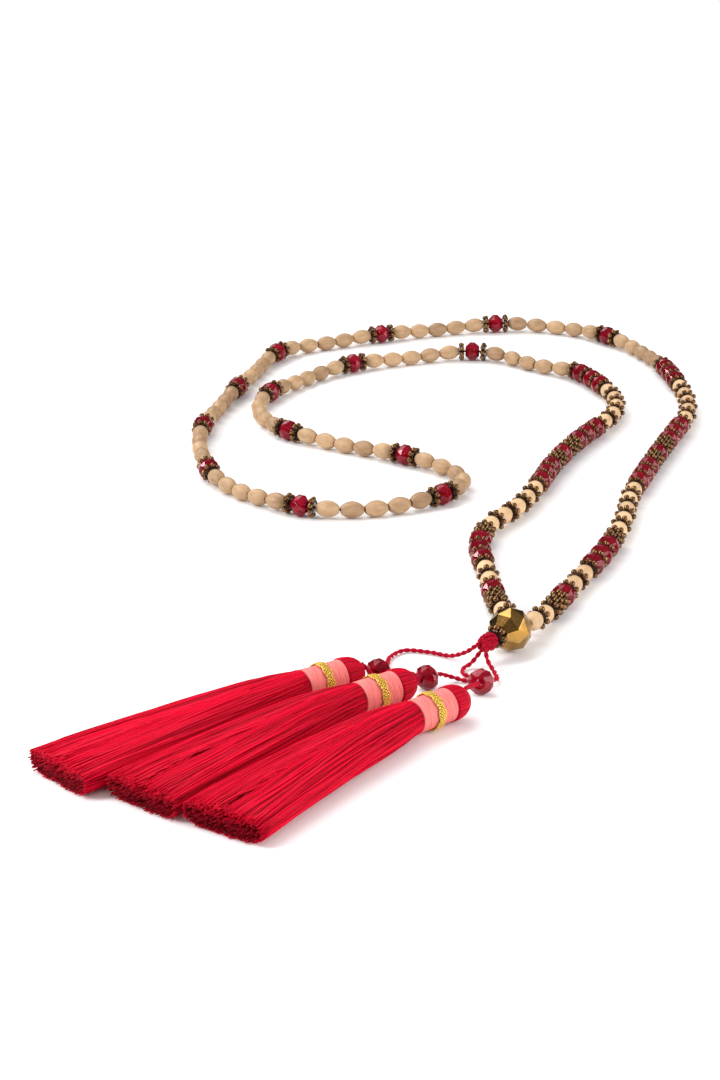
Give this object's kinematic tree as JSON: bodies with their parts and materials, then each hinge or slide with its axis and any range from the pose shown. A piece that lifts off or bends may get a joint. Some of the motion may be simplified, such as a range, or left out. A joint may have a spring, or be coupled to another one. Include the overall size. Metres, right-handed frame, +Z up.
{
  "type": "tassel necklace",
  "caption": "Long beaded necklace laid in an open curl: wooden ovals, faceted red crystals and bronze spacers, with a gold centre bead and silk tassels on drop cords.",
  "frame": {"origin": "centre of the footprint of the lying necklace, on the surface that it rests on", "axes": "+Z up from the surface, +Y from the tassels to the far runs of the loop, +X to the right of the picture"},
  "size_m": [0.2299, 0.5169, 0.0145],
  "materials": {
    "wood": "smooth turned pale wood, sealed, soft sheen",
    "red_crystal": "faceted polished deep red glass",
    "bronze": "antiqued bronze with dark patina, worn bright on the knobs",
    "antique_gold": "polished antique gold plate on a faceted bead",
    "string": "fine waxed dark red thread",
    "red_thread": "twisted glossy red thread",
    "red_silk": "crimson silk threads",
    "coral_thread": "coral thread wound side by side",
    "gold_braid": "metallic gold thread braid"
  },
  "bodies": {
    "root": {"string_thread": "string", "gold_bead": "antique_gold", "pendant_spacer": "bronze", "tassel_knot": "red_thread", "crystal_spacers": "bronze", "front_ovals_left": "wood", "front_crystals_left": "red_crystal", "front_spacers_left": "bronze", "front_ovals_right": "wood", "front_crystals_right": "red_crystal", "front_spacers_right": "bronze", "crystal_01": "red_crystal", "crystal_02": "red_crystal", "crystal_03": "red_crystal", "crystal_04": "red_crystal", "crystal_05": "red_crystal", "crystal_06": "red_crystal", "crystal_07": "red_crystal", "crystal_08": "red_crystal", "crystal_09": "red_crystal", "crystal_10": "red_crystal", "crystal_11": "red_crystal", "crystal_12": "red_crystal", "crystal_13": "red_crystal", "crystal_14": "red_crystal", "oval_run_01": "wood", "oval_run_02": "wood", "oval_run_03": "wood", "oval_run_04": "wood", "oval_run_05": "wood", "oval_run_06": "wood", "oval_run_07": "wood", "oval_run_08": "wood", "oval_run_09": "wood", "oval_run_10": "wood", "oval_run_11": "wood", "oval_run_12": "wood", "oval_run_13": "wood", "oval_run_14": "wood", "oval_run_15": "wood", "drop_cord_back": "red_thread", "drop_cord_middle": "red_thread", "drop_cord_front": "red_thread", "drop_crystal_back": "red_crystal", "drop_crystal_middle": "red_crystal", "drop_crystal_front": "red_crystal", "tassel_back": "red_silk", "tassel_middle": "red_silk", "tassel_front": "red_silk", "tassel_band_back": "coral_thread", "tassel_band_middle": "coral_thread", "tassel_band_front": "coral_thread", "tassel_braid_back": "gold_braid", "tassel_braid_middle": "gold_braid", "tassel_braid_front": "gold_braid"}
  },
  "joints": []
}
